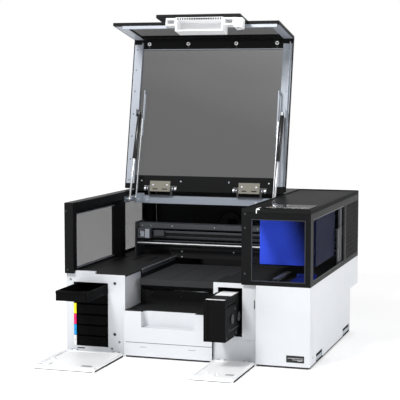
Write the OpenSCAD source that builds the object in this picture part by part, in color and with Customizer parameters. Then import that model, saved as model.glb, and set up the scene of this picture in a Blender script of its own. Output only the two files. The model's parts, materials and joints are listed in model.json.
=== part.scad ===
/* [Cabinet] */
// Overall width
width = 980; // [960:5:1000]
// Depth of the upper body
depth = 951; // [945:1:960]
// Depth of the lower body, under the rear overhang
lower_depth = 780; // [770:1:790]
// Height of the canopies
height = 593; // [590:1:600]
// Height at which the rear of the cabinet steps out
step_z = 185; // [180:1:190]
// Height of the seam between the white panels and the black canopies
band_z = 306; // [304:1:308]
// Gap between the panels and the floor
floor_gap = 8; // [6:1:10]
// Thickness of the sheet and moulded skins
skin = 3; // [2:0.5:4]

/* [Front bays] */
// Left edge of the centre opening
centre_x0 = -244; // [-250:1:-240]
// Right edge of the centre opening
centre_x1 = 113; // [110:1:116]
// Left edge of the fixed right front panel
right_x0 = 282; // [280:1:286]
// How far the bay faces lie behind the front plane
face_y = 15; // [15:1:18]
// Height of the left bay
left_top = 316; // [314:1:318]
// Height of the right bay
right_top = 308; // [307:1:310]
// Height of the front shelf
shelf_z = 182; // [178:1:186]
// Depth of the front shelf
shelf_depth = 188; // [180:1:195]

/* [Doors] */
// Length of a door from its hinge
door_len = 299; // [290:1:300]
// Thickness of a door
door_t = 13; // [11:1:13]
// How far a door turns from open to closed
door_swing = 90; // [80:1:90]

/* [Ink trays and cassette] */
// Number of ink trays
tray_count = 6; // [4:1:6]
// Vertical pitch of the trays
tray_pitch = 42; // [40:0.5:42]
// How far the top tray is pulled out at rest
tray_out = 209; // [100:1:215]
// Depth of a tray
tray_depth = 262; // [250:1:270]
// How far the wiper cassette is pulled out at rest
cassette_out = 195; // [120:1:200]

/* [Lid] */
// Angle by which the lid stands open
lid_open = 101.2; // [80:0.2:104]
// Distance of the lid hinge from the front plane
hinge_y = 658; // [650:1:664]
// Height of the lid hinge
hinge_z = 600; // [600:0.5:604]
// Right edge of the lid
lid_x1 = 234; // [226:1:240]
// Thickness of the lid skin
lid_t = 13; // [11:1:14]
// Height of the lower edge of the lid's front panel when it is closed
lid_front_z = 330; // [322:1:336]
// Height of the lower edge of the lid's centre flap when it is closed
flap_z = 209; // [200:1:215]

/* [Canopies] */
// Width of the left canopy
rail_w = 41; // [38:1:44]
// Left edge of the right canopy
canopy_x0 = 226; // [224:1:230]
// Height of the glossy cap on the right canopy
cap_h = 16; // [14:1:20]

/* [Print unit] */
// Width of the print bed
bed_w = 347; // [340:1:350]
// Length of the print bed
bed_len = 440; // [420:1:450]
// Distance of the bed's front edge from the front plane
bed_y = 120; // [115:1:130]
// Height of the bed's surface
bed_z = 290; // [286:1:292]
// Number of planks in the bed
bed_planks = 3; // [2:1:6]
// Width of the carriage cover
carriage_w = 222; // [200:1:226]
// Height of the underside of the carriage cover
carriage_z = 359; // [355:1:362]

/* [Hidden] */

$fn = 48;
x_edge = width / 2;
in_x = x_edge - skin;
// the doors reach this far in front of the front plane, so this is the middle of the whole depth
door_axis = [8.5, 11];
y_mid = (depth - (door_len - door_axis[0])) / 2;

white = "#e6e8ec";
pale = "#d5d9dd";
black = "#242526";
gloss = "#3a3b3c";
steel = "#aab2bb";
tan_plate = "#9a978a";
tinted = [0.30, 0.31, 0.33, 0.55];

// bays
rack_x = [-459, -315];
rack_z = 30;
tray_x = [-445, -317];
tray_front = face_y + 7;
strip_x = [-459, -447];
cassette_x = [133, 214];
cassette_z = [117, 271];
bay_x = [131, 226];
bay_z = [105, 290];
cassette_front = face_y + 15;
cassette_depth = 300;
roller_yz = [[-82, 190], [4, 186]];
roller_t = 3.2;
knuckle_w = 16;
ear_t = 4;
pin_r = 2.5;
fit = 0.05;

// lid, drawn closed and then turned open about its hinge
lid_z = hinge_z - lid_t / 2;
lid_front = -1 - lid_t;
lid_back = hinge_y + 10;
glass_x = [-446, 190];
glass_y = [44, 600];
rail_in = -x_edge + rail_w;
side_mid = (rail_in + canopy_x0) / 2;
lid_strip_x = [[-485, -444], [190, 230]];
hinge_x = [-326, 75];
leaf_w = 93;

// struts beside the lid: pivots on the cabinet, and where they meet the closed lid
strut_x = rail_in + 17;
strut_foot = [560, 562];
strut_head = [330, 565];
tube_len = 200;
tube_r = 9;
rod_r = 4;
stay_x = rail_in + 31;
stay_foot = [600, 566];
stay_pin = [256, 568];

bed_x0 = -222;
bed_step = bed_w / bed_planks;
beam_y = [592, 650];
beam_z = [380, 456];
rod_yz = [574, 372];
carriage_x = 246;
carriage_y = [190, 545];
carriage_top = 545;

function turn(p, a) = [p[0] * cos(a) - p[1] * sin(a), p[0] * sin(a) + p[1] * cos(a)];
function opened(p) = turn(p - [hinge_y, hinge_z], -lid_open) + [hinge_y, hinge_z];

module placed() translate([0, -y_mid, 0]) children();
module block(a, b) translate(a) cube(b - a);
module along_x(x, y, z, len) translate([x, y, z]) rotate([0, 90, 0]) linear_extrude(len) children();
module rod_x(x, y, z, len, r) along_x(x, y, z, len) circle(r);
module side_sheet(x, t) translate([x, 0, 0]) rotate([90, 0, 90]) linear_extrude(t) children();
// turns what is drawn in the closed position about an axis along X at [y, z]
module turned(axis, a) {
  translate([0, axis[0], axis[1]]) rotate([a, 0, 0]) translate([0, -axis[0], -axis[1]]) children();
}
module lid_body() placed() turned([hinge_y, hinge_z], -lid_open) children();
module both_sides() {
  children();
  translate([2 * side_mid, 0, 0]) mirror([1, 0, 0]) children();
}
module other_side() translate([2 * side_mid, 0, 0]) mirror([1, 0, 0]) children();

// ---- cabinet ----
module base_pan() color(steel) placed() difference() {
  block([-in_x, face_y + skin, floor_gap], [in_x, lower_depth - skin, floor_gap + 16]);
  block([-in_x + skin, face_y + 2 * skin, floor_gap + skin], [in_x - skin, lower_depth - 2 * skin, 60]);
}

module feet() color(black) placed() for (x = [-430, 430]) for (y = [70, lower_depth - 60]) {
  translate([x, y, 0]) cylinder(h = 5, r = 24);
  translate([x, y, 5]) cylinder(h = floor_gap - 5, r = 16);
}

module side_outline(y0) polygon([
  [y0, floor_gap], [lower_depth, floor_gap], [lower_depth, step_z],
  [depth, step_z], [depth, band_z], [y0, band_z]
]);
module grip_opening(y0, y1) translate([y0, -1]) square([y1 - y0, 39]);

module left_side_panel() color(pale) placed() side_sheet(-x_edge, skin) difference() {
  side_outline(face_y);
  grip_opening(109, 221);
  grip_opening(623, 761);
}

module right_side_panel() color(pale) placed() side_sheet(in_x, skin) difference() {
  side_outline(skin);
  grip_opening(109, 221);
  grip_opening(623, 761);
  translate([56, 36]) scale([1, 0.5]) circle(7);
}

module rear_panel() color(pale) placed() difference() {
  side_sheet(-in_x, 2 * in_x) polygon([
    [lower_depth - skin, floor_gap], [lower_depth, floor_gap], [lower_depth, step_z],
    [depth, step_z], [depth, band_z], [depth - skin, band_z], [depth - skin, step_z + skin],
    [lower_depth - skin, step_z + skin]
  ]);
  // cooling slots low in the rear wall
  for (k = [0:11]) block([120 + 22 * k, 0, 50], [128 + 22 * k, depth - 60, 130]);
}

module rear_top_cover() color(black) placed() difference() {
  side_sheet(-in_x, in_x + canopy_x0 - 1) polygon([
    [hinge_y + 18, height - 4], [hinge_y + 18, height], [depth, height], [depth, band_z],
    [depth - skin, band_z], [depth - skin, height - 4]
  ]);
  block([-x_edge - 1, 0, 0], [rail_in + 0.5, depth - skin - 0.5, height + 1]);
  block([-x_edge - 1, 0, band_z], [rail_in + 0.5, depth + 1, height + 1]);
  for (k = [0:13]) block([-380 + 40 * k, depth - 10, 360], [-358 + 40 * k, depth + 1, 366]);
  for (k = [0:13]) block([-380 + 40 * k, depth - 10, 380], [-358 + 40 * k, depth + 1, 386]);
}

module left_bay_shell() color(white) placed() {
  difference() {
    block([-in_x, face_y, floor_gap], [centre_x0, face_y + skin, left_top]);
    block([rack_x[0], 0, rack_z], [rack_x[1], 50, rack_z + tray_count * tray_pitch]);
  }
  block([centre_x0 - skin, face_y + skin, floor_gap + 20], [centre_x0, shelf_depth, left_top - 5]);
  block([rail_in - 3, face_y, left_top], [-367, face_y + 12, left_top + 10]);
}

module right_bay_shell() color(white) placed() {
  difference() {
    block([centre_x1, face_y, floor_gap], [right_x0, face_y + skin, right_top]);
    block([bay_x[0], 0, bay_z[0]], [bay_x[1], 50, bay_z[1]]);
  }
  // side wall of the centre opening, lower where the bed comes forward
  block([centre_x1, face_y + skin, floor_gap + 20], [centre_x1 + skin, bed_y - 8, right_top - 5]);
  block([centre_x1, bed_y - 8, floor_gap + 20], [centre_x1 + skin, shelf_depth, 236]);
}

module right_front_panel() color(white) placed() {
  block([right_x0 + 0.5, 0, floor_gap], [x_edge, skin, band_z]);
  block([right_x0 + 0.5, skin, floor_gap], [right_x0 + 0.5 + skin, face_y + skin, band_z]);
}

// the top of this panel is scooped back, so that fingers reach the lid's handle
module centre_front_panel() color(white) placed() {
  x0 = -172;
  x1 = 42;
  z0 = 120;
  back = 40;
  difference() {
    block([centre_x0 + 0.5, -1, 62], [centre_x1 - 0.5, 2, shelf_z]);
    block([x0, -2, z0], [x1, 3, shelf_z + 1]);
  }
  translate([0, 0, z0 - skin]) linear_extrude(skin) difference() {
    translate([x0 - skin, 2]) square([x1 - x0 + 2 * skin, back]);
    translate([x0 - skin, 2 + back]) mirror([0, 1]) scoop_corner(26);
  }
  translate([0, 0, z0]) linear_extrude(shelf_z - z0 - skin) {
    difference() {
      translate([x0 - skin, 2]) square([x1 - x0 + 2 * skin, back]);
      difference() {
        translate([x0, 0]) square([x1 - x0, back + 2 - skin]);
        translate([x0, back + 2 - skin]) mirror([0, 1]) scoop_corner(24);
      }
      translate([x0 - skin, 2 + back]) mirror([0, 1]) scoop_corner(26);
    }
  }
}
module scoop_corner(r) difference() {
  square(r);
  translate([r, r]) circle(r);
}

module centre_lower_panel() color(white) placed()
  block([centre_x0 + 0.5, 0, floor_gap], [centre_x1 - 0.5, skin, 61.5]);

module front_shelf() color(black) placed() {
  difference() {
    block([centre_x0 + 0.5, 2, shelf_z - skin], [centre_x1 - 0.5, shelf_depth, shelf_z]);
    block([-172, 1, shelf_z - 10], [42, 43, shelf_z + 1]);
  }
  block([centre_x0 + 0.5, shelf_depth, shelf_z - skin], [centre_x1 - 0.5, shelf_depth + skin, 236]);
}

// plates either side of the bed, each with a wall down to the bed's well
module inner_deck() color(black) placed() {
  y0 = face_y + skin;
  left_edge = -240;
  right_edge = 132;
  block([-x_edge + 6, y0, left_top - 5], [left_edge, depth - skin, left_top]);
  block([left_edge - skin, shelf_depth + skin, 190], [left_edge, depth - skin, left_top - 5]);
  block([right_edge, y0, right_top - 5], [x_edge - 6, depth - 6, right_top]);
  block([centre_x1, y0, right_top - 5], [right_edge, shelf_depth, right_top]);
  block([right_edge, 362, 190], [right_edge + skin, depth - 6, right_top - 5]);
  // rear wall of the well, and the bridge over it behind the bed
  block([left_edge, depth - 9, 190], [right_edge, depth - 6, right_top - 5]);
  block([left_edge - 22, 612, left_top], [left_edge, 640, 350]);
  block([left_edge, 612, right_top], [right_edge + 22, 640, 350]);
}

module power_supply() color(steel) placed() difference() {
  block([-470, 420, floor_gap + skin], [-270, 700, 110]);
  block([-468, 422, floor_gap + skin + 2], [-272, 698, 108]);
  for (k = [0:9]) block([-460 + 19 * k, 440, 100], [-450 + 19 * k, 680, 120]);
}

// ---- doors, drawn closed and then turned down about their hinges ----
knuckle_inset = 26;
module door(x0, x1, len) placed() turned(door_axis, door_swing) {
  block([x0, 0, door_axis[1] + 8], [x1, 8, door_axis[1] + len]);
  // shallow inner pan behind the flat outer skin
  difference() {
    block([x0 + 4, 8, door_axis[1] + 12], [x1 - 4, door_t, door_axis[1] + len - 5]);
    block([x0 + 12, 9.5, door_axis[1] + 22], [x1 - 12, door_t + 1, door_axis[1] + len - 14]);
  }
  for (x = [x0 + knuckle_inset, x1 - knuckle_inset - knuckle_w]) difference() {
    union() {
      block([x, 4.5, door_axis[1]], [x + knuckle_w, 8, door_axis[1] + 8]);
      rod_x(x, door_axis[0], door_axis[1], knuckle_w, 4.5);
    }
    rod_x(x - 1, door_axis[0], door_axis[1], knuckle_w + 2, pin_r + fit);
  }
}
// the right door closes below the right canopy
right_door_len = band_z - door_axis[1] - 0.6;
left_door_x = [-x_edge + 2, centre_x0 - 2];
right_door_x = [centre_x1 + 2, right_x0 - 2];

module left_door() color(white) {
  door(left_door_x[0], left_door_x[1], door_len);
  placed() turned(door_axis, door_swing)
    block([left_door_x[0] + 20, 9.5, door_axis[1] + 238], [left_door_x[0] + 48, 14.5, door_axis[1] + 276]);
}
module right_door() color(white) {
  door(right_door_x[0], right_door_x[1], right_door_len);
  placed() turned(door_axis, door_swing)
    block([right_door_x[0] + 40, 9.5, door_axis[1] + 228],
          [right_door_x[0] + 84, 14.5, door_axis[1] + 262]);
}

// an ear on each side of every knuckle, with the pin through both
module door_hinges() color(steel) placed()
  for (d = [left_door_x, right_door_x])
    for (x = [d[0] + knuckle_inset, d[1] - knuckle_inset - knuckle_w]) {
      for (e = [x - ear_t - 0.5, x + knuckle_w + 0.5])
        block([e, 3, door_axis[1] - 5.5], [e + ear_t, face_y, door_axis[1] + 5.5]);
      rod_x(x - 0.5, door_axis[0], door_axis[1], knuckle_w + 1, pin_r);
    }

// ---- ink bay ----
module ink_rack() color(black) placed() {
  x0 = strip_x[1] - 1;
  x1 = rack_x[1];
  y0 = face_y + skin;
  y1 = y0 + 300;
  top = rack_z + tray_count * tray_pitch;
  block([x0 - 12, y0, rack_z - 2], [x0, y1, top]);
  block([x1, y0, rack_z - 2], [x1 + 3, y1, top]);
  block([x0 - 12, y1, rack_z - 2], [x1 + 3, y1 + 3, top]);
  block([x0 - 12, y0, top], [x1 + 3, y1 + 3, top + 3]);
  block([x0, y0, rack_z - 2], [x1, y1, rack_z]);
  for (k = [1:tray_count - 1])
    block([x0, y0, rack_z + k * tray_pitch - 1.5], [x1, y1, rack_z + k * tray_pitch]);
}

// open tray with ribbed sides and a finger lip on its front
module ink_tray(k) color(black) placed() {
  out = k == tray_count ? tray_out : 0;
  z0 = rack_z + (k - 1) * tray_pitch + 0.5;
  h = tray_pitch - 4;
  y0 = tray_front - out;
  difference() {
    block([tray_x[0], y0, z0], [tray_x[1], y0 + tray_depth, z0 + h]);
    block([tray_x[0] + 3, y0 + 8, z0 + 3], [tray_x[1] - 3, y0 + tray_depth - 3, z0 + h + 1]);
    for (n = [0:17]) for (x = [tray_x[0] - 1, tray_x[1] - 1])
      block([x, y0 + 16 + 13 * n, z0 + 6], [x + 2, y0 + 22 + 13 * n, z0 + h - 6]);
    block([tray_x[0] + 20, y0 - 1, z0 + h - 11], [tray_x[1] - 20, y0 + 4, z0 + h + 1]);
  }
}
module ink_tray_1() ink_tray(1);
module ink_tray_2() ink_tray(2);
module ink_tray_3() ink_tray(3);
module ink_tray_4() ink_tray(4);
module ink_tray_5() ink_tray(5);
module ink_tray_6() ink_tray(6);

// one flag for each ink, on the left jamb of the rack
module colour_strip() placed() for (k = [0:3]) {
  z1 = rack_z + (4 - k) * tray_pitch - 1;
  color(["#fff200", "#ec006c", "#009fe8", "#f2f2f2"][k])
    block([strip_x[0] + 0.5, face_y, z1 - tray_pitch + 2], [strip_x[1] - 1.5, face_y + 2.5, z1]);
}

// ---- wiper cassette ----
module cassette_bay() color(black) placed() {
  y0 = face_y + skin;
  y1 = y0 + 340;
  difference() {
    block([bay_x[0] - 2.5, y0, bay_z[0] - 3], [bay_x[1] + 2.5, y1, bay_z[1] + 2.5]);
    block([bay_x[0], y0 - 1, bay_z[0]], [bay_x[1], y1 - 3, bay_z[1]]);
  }
  for (x = [bay_x[0], bay_x[1] - 18])
    block([x, y0, bay_z[0]], [x + 18, y1 - 3, cassette_z[0] - 0.5]);
}

module wiper_cassette() color(black) placed() {
  y0 = cassette_front - cassette_out;
  difference() {
    block([cassette_x[0], y0, cassette_z[0]], [cassette_x[1], y0 + cassette_depth, cassette_z[1]]);
    // open box above a floor, with vents along the upper edge
    block([cassette_x[0] + 3, y0 + 4, cassette_z[0] + 4],
          [cassette_x[1] - 3, y0 + cassette_depth - 4, cassette_z[1] - 8]);
    for (n = [0:7]) block([cassette_x[0] - 1, y0 + 22 + 15 * n, cassette_z[1] - 30],
                          [cassette_x[1] + 1, y0 + 32 + 15 * n, cassette_z[1] - 24]);
    for (c = roller_yz) rod_x(cassette_x[1] - 4, c[0], c[1], 5, 5.05);
  }
  for (x = [cassette_x[0], cassette_x[1] - 3])
    block([x, y0 + 40, cassette_z[1]], [x + 3, y0 + 160, cassette_z[1] + 4]);
}

module wiper_roller(c) color(black) placed() {
  rod_x(cassette_x[1] + 0.4, c[0], c[1], roller_t, 13);
  rod_x(cassette_x[1] - 20, c[0], c[1], 20.4, 5);
  rod_x(cassette_x[1] - 24, c[0], c[1], 4, 8);
}
module wiper_roller_front() wiper_roller(roller_yz[0]);
module wiper_roller_rear() wiper_roller(roller_yz[1]);

// ---- canopies ----
window_z = [327, 537];
window_y = [[45, 495], [555, 866]];
// the lower front corner is cut away for the top edge of the closed door
module left_canopy() color(black) placed() {
  side_sheet(-x_edge, 6) difference() {
    translate([0, band_z]) square([depth, height - band_z]);
    translate([-1, band_z - 1]) square([face_y + skin + 1, left_top - band_z + 1]);
    for (y = window_y) translate([y[0], window_z[0]]) square([y[1] - y[0], window_z[1] - window_z[0]]);
  }
  block([-x_edge + 6, 0, left_top], [rail_in - 4, 37, height]);
  block([-x_edge + 6, 37, height - 33], [rail_in, depth, height]);
  block([-x_edge + 6, 497, left_top], [rail_in, 553, height - 33]);
  block([-x_edge + 6, 900, left_top], [rail_in, depth, height - 33]);
}

module left_window() color(tinted) placed()
  for (y = [[window_y[0][0] - 5, 496], [554, window_y[1][1] + 8]])
  block([-x_edge + 6.3, y[0], window_z[0] - 8], [-x_edge + 9.3, y[1], window_z[1] + 8]);

side_window_y = [46, 640];
front_window_x = [264, 470];
pane_z = [321, 554];
vent_y = [672, 940];
vent_pitch = 18;
// open on its left, where the carriage passes, under a beam that carries the strut brackets
module right_canopy() color(black) placed() {
  top = height - cap_h;
  difference() {
    block([canopy_x0, 0, band_z], [x_edge, depth, top]);
    block([canopy_x0 - 1, 6, band_z - 1], [x_edge - 6, depth - 6, top - 4]);
    block([front_window_x[0], -1, pane_z[0]], [front_window_x[1], 7, pane_z[1]]);
    block([x_edge - 7, side_window_y[0], pane_z[0]], [x_edge + 1, side_window_y[1], pane_z[1]]);
    // slanting vent slots
    side_sheet(x_edge - 7, 8) intersection() {
      translate([vent_y[0], pane_z[0]]) square([vent_y[1] - vent_y[0], pane_z[1] - pane_z[0]]);
      for (k = [0:24])
        translate([vent_y[0] - 20, pane_z[0] + vent_pitch * k]) rotate(-38) square([400, 8]);
    }
  }
  block([canopy_x0, 6, carriage_top + 6], [canopy_x0 + 5, depth - 6, top - 4]);
}

module right_front_window() color(tinted) placed()
  block([front_window_x[0] - 8, 6.3, pane_z[0] - 8], [front_window_x[1] + 8, 9.3, pane_z[1] + 8]);
module right_side_window() color(tinted) placed()
  block([x_edge - 9.3, side_window_y[0] - 8, pane_z[0] - 8],
        [x_edge - 6.3, side_window_y[1] + 8, pane_z[1] + 8]);

panel_x = [298, 472];
panel_y = [45, 200];
key_xy = [[450, 75], [415, 75], [388, 75]];
key_r = [9, 7, 7];
module canopy_cap() color(gloss) placed() difference() {
  block([canopy_x0, 0, height - cap_h], [x_edge, depth, height]);
  block([canopy_x0 + 6, 6, height - 3], [x_edge - 10, depth - 14, height + 1]);
}
module control_panel() color(black) placed() difference() {
  block([panel_x[0], panel_y[0], height - 3], [panel_x[1], panel_y[1], height - 0.5]);
  for (k = [0:2]) translate([key_xy[k][0], key_xy[k][1], 0]) cylinder(h = height + 9, r = key_r[k] + 0.4);
}
module key(k) color(pale) placed() translate([key_xy[k][0], key_xy[k][1], height - 2])
  cylinder(h = 3.4, r = key_r[k]);
module power_key() key(0);
module menu_key() key(1);
module feed_key() key(2);

// ---- lid ----
module at_hinges() for (x = hinge_x) translate([x, 0, 0]) children();
module hinge_notches() at_hinges()
  block([-leaf_w / 2 - 30, hinge_y - 15, 0], [leaf_w / 2 + 30, 999, 999]);
// flat steel strips let into the inner faces of the lid's sides and of its front panel
module lid_strips() for (x = lid_strip_x) {
  block([x[0], 20, lid_z], [x[1], hinge_y - 22, lid_z + 3]);
  block([x[0], -4, lid_front_z + 18], [x[1], -1, lid_z - 2]);
}

module lid_frame() color(black) lid_body() {
  difference() {
    block([-x_edge, lid_front, lid_z], [lid_x1, lid_back, lid_z + lid_t]);
    block([glass_x[0], glass_y[0], lid_z - 1], [glass_x[1], glass_y[1], lid_z + lid_t + 1]);
    hinge_notches();
    lid_strips();
    // over the canopies the rear edge ends on the hinge line, so that it turns clear of them
    block([-x_edge - 1, hinge_y, 0], [rail_in + 2, 999, 999]);
    block([canopy_x0 - 2, hinge_y, 0], [lid_x1 + 1, 999, 999]);
  }
  difference() {
    block([-x_edge, lid_front, lid_front_z], [lid_x1, -1, lid_z]);
    block([glass_x[0], lid_front - 1, lid_front_z + 30], [glass_x[1], 0, lid_z - 30]);
    lid_strips();
  }
  block([centre_x0 - 10, lid_front, flap_z], [centre_x1 - 10, -1, lid_front_z]);
}

// panes lie in the frames, let in from the inside
module lid_glass() color(tinted) lid_body()
  block([glass_x[0], glass_y[0], lid_z + 3], [glass_x[1], glass_y[1], lid_z + 8]);
module lid_front_glass() color(tinted) lid_body()
  block([glass_x[0], lid_front + 4, lid_front_z + 30], [glass_x[1], lid_front + 9, lid_z - 30]);

// folded steel rails inside the lid's sides and across its front, with the ears for the struts
module lid_rails() color(steel) lid_body() {
  lid_strips();
  both_sides() {
    block([rail_in + 2, 14, lid_z - 12], [rail_in + 5, hinge_y - 22, lid_z]);
    difference() {
      block([rail_in + 2, strut_head[0] - 16, lid_z - 42], [rail_in + 5, strut_head[0] + 16, lid_z - 12]);
      rod_x(rail_in, strut_head[0], strut_head[1], 9, 4.2);
    }
    rod_x(rail_in + 2, strut_head[0], strut_head[1], 5.5, 4.2);
    // slotted bar on two legs that guides the end of the stay
    for (y = [stay_pin[0] - 26, stay_pin[0] + 164])
      block([stay_x + 4, y, stay_pin[1] + 9], [stay_x + 7, y + 12, lid_z]);
    difference() {
      block([stay_x + 4, stay_pin[0] - 26, stay_pin[1] - 9],
            [stay_x + 7, stay_pin[0] + 176, stay_pin[1] + 9]);
      block([stay_x, stay_pin[0] - 12, stay_pin[1] - 5],
            [stay_x + 9, stay_pin[0] + 164, stay_pin[1] + 5]);
    }
  }
  block([rail_in + 2, -1, lid_front_z + 4], [canopy_x0 - 2, 12, lid_front_z + 14]);
}

handle_x = [-168, 34];
module lid_handle() color(white) lid_body() {
  z0 = flap_z - 2;
  difference() {
    block([handle_x[0], -0.8, z0], [handle_x[1], 56, z0 + 70]);
    block([handle_x[0] + 6, 11, z0 - 1], [handle_x[1] - 6, 51, z0 + 62]);
    for (n = [0:19])
      block([handle_x[0] + 7.5 + 9.5 * n, 2, z0 - 1], [handle_x[0] + 12.5 + 9.5 * n, 9, z0 + 20]);
  }
  // latch arms on both sides of the cup
  for (x = [handle_x[0] - 44, handle_x[1]]) difference() {
    block([x, -0.8, z0 + 6], [x + 44, 30, z0 + 50]);
    block([x + 6, 5, z0 + 5], [x + 38, 24, z0 + 44]);
  }
  // tapered latch housing at the right end
  translate([handle_x[1] + 44, 40, z0]) rotate([90, 0, 0]) linear_extrude(39.2) difference() {
    polygon([[0, 0], [34, 10], [34, 46], [0, 62]]);
    polygon([[4, 5], [30, 13], [30, 43], [4, 56]]);
  }
}

// moving leaf of each lid hinge, with the barrel that turns on the fixed pin
module hinge_leaves() color(tan_plate) lid_body() at_hinges() difference() {
  union() {
    difference() {
      block([-leaf_w / 2, hinge_y - 34, lid_z - 3], [leaf_w / 2, hinge_y + 12, lid_z]);
      for (x = [-22, 22]) block([x - 11, hinge_y - 1, lid_z - 4], [x + 11, hinge_y + 3, lid_z + 1]);
    }
    rod_x(-leaf_w / 2, hinge_y, hinge_z, leaf_w, 7);
  }
  rod_x(-leaf_w / 2 - 1, hinge_y, hinge_z, leaf_w + 2, 4 + fit);
}

module hinge_blocks() color(steel) placed() at_hinges() {
  x0 = -leaf_w / 2;
  block([x0 - 8, hinge_y - 8, 570], [-x0 + 8, hinge_y + 32, 574]);
  for (x = [x0 - 8, -x0 + 1]) {
    block([x, hinge_y - 8, 574], [x + 7, hinge_y + 8, hinge_z]);
    rod_x(x, hinge_y, hinge_z, 7, 8);
  }
  rod_x(x0 - 22, hinge_y, hinge_z, leaf_w + 44, 4);
  for (x = [x0 - 18, -x0 + 10]) along_x(x, hinge_y, hinge_z, 8) circle(7.5, $fn = 6);
}

module crossbar() color(steel) placed() {
  difference() {
    block([rail_in + 0.5, hinge_y + 2, 537], [canopy_x0 - 0.5, hinge_y + 34, 570]);
    block([rail_in, hinge_y + 5, 536], [canopy_x0, hinge_y + 31, 567]);
  }
  // raised end tabs, and the foot brackets of the struts and stays on both canopy rails
  both_sides() {
    block([rail_in + 12, hinge_y + 2, 570], [rail_in + 48, hinge_y + 5, 580]);
    block([rail_in + 0.2, 540, 550], [rail_in + 3.2, hinge_y + 2, 572]);
    rod_x(rail_in + 3.2, strut_foot[0], strut_foot[1], 24, 4);
    rod_x(rail_in + 3.2, stay_foot[0], stay_foot[1], 34, 4);
  }
}

// ---- gas struts and stays, drawn along +Z from the foot and laid on their lines ----
strut_line = opened(strut_head) - strut_foot;
strut_len = norm(strut_line);
strut_shut = norm(strut_head - strut_foot);
stay_len = norm(stay_pin - stay_foot);
module strut(x, foot, line) placed() translate([x, foot[0], foot[1]])
  rotate([-atan2(line[0], line[1]), 0, 0]) children();

// the tube's top eye is level with the closed lid's stud when the strut is shut
module gas_tube() color(black) strut(strut_x, strut_foot, strut_line) {
  top = strut_len - 8;
  difference() {
    translate([0, 0, top - tube_len]) cylinder(h = tube_len, r = tube_r);
    translate([0, 0, top - tube_len - 1]) cylinder(h = tube_len - 9, r = rod_r + fit);
  }
  difference() {
    translate([-4, -6, top]) cube([8, 12, 14]);
    translate([-5, 0, strut_len]) rotate([0, 90, 0]) cylinder(h = 10, r = 4.3);
  }
}
module gas_rod() color(steel) strut(strut_x, strut_foot, strut_line) {
  difference() {
    translate([-5, 0, 0]) rotate([0, 90, 0]) cylinder(h = 10, r = 8);
    translate([-6, 0, 0]) rotate([0, 90, 0]) cylinder(h = 12, r = 4 + fit);
  }
  translate([0, 0, 7.5]) cylinder(h = strut_shut - 32, r = rod_r);
}
// flat arm that reaches the lid's guide channel when the lid is open
// the stay's end slides this far along its channel as the lid opens
stay_slide = 103;
stay_line = opened(stay_pin + [stay_slide, 0]) - stay_foot;
stay_tilt = atan2(stay_line[0], stay_line[1]);
module lid_stay() color(steel) placed() translate([stay_x, stay_foot[0], stay_foot[1]])
  rotate([-stay_tilt, 0, 0]) {
    difference() {
      union() {
        translate([0, -6, 0]) cube([3, 12, stay_len]);
        rotate([0, 90, 0]) cylinder(h = 3, r = 9);
        translate([0, 0, stay_len]) rotate([0, 90, 0]) cylinder(h = 3, r = 8);
      }
      translate([-1, 0, 0]) rotate([0, 90, 0]) cylinder(h = 5, r = 4 + fit);
    }
  }
module gas_tube_left() gas_tube();
module gas_tube_right() other_side() gas_tube();
module gas_rod_left() gas_rod();
module gas_rod_right() other_side() gas_rod();
module lid_stay_left() lid_stay();
module lid_stay_right() other_side() lid_stay();

// ---- bed ----
module bed_frame() color(steel) placed() for (x = [-150, 40]) {
  difference() {
    block([x, 205, floor_gap + skin], [x + 24, lower_depth - 20, 214]);
    block([x - 1, 235, floor_gap + 33], [x + 25, lower_depth - 50, 184]);
  }
  block([x + 4, 196, 214], [x + 20, 930, 228]);
}

module bed_carrier() color(gloss) placed() {
  x1 = bed_x0 + bed_w;
  block([bed_x0 + 30, bed_y + 30, 246], [x1 - 30, bed_y + bed_len - 30, 258]);
  block([bed_x0 + 8, bed_y + 8, 258], [x1 - 8, bed_y + bed_len - 8, bed_z - 12]);
  for (x = [-150, 40]) for (y = [bed_y + 80, bed_y + bed_len - 100]) difference() {
    block([x - 4, y, 218], [x + 28, y + 60, 246]);
    block([x + 3.5, y - 1, 200], [x + 20.5, y + 61, 228.5]);
  }
}

// black planks side by side, with a shadow groove along the front edge
module print_bed() color(black) placed() difference() {
  block([bed_x0, bed_y, bed_z - 12], [bed_x0 + bed_w, bed_y + bed_len, bed_z]);
  for (k = [1:bed_planks - 1])
    block([bed_x0 + bed_step * k - 1, bed_y - 1, bed_z - 2],
          [bed_x0 + bed_step * k + 1, bed_y + bed_len + 1, bed_z + 1]);
  block([bed_x0 - 1, bed_y - 1, bed_z - 5], [bed_x0 + bed_w + 1, bed_y + 1, bed_z - 4]);
}

// ---- gantry and carriage ----
gantry_x = [-402, 472];
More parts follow.
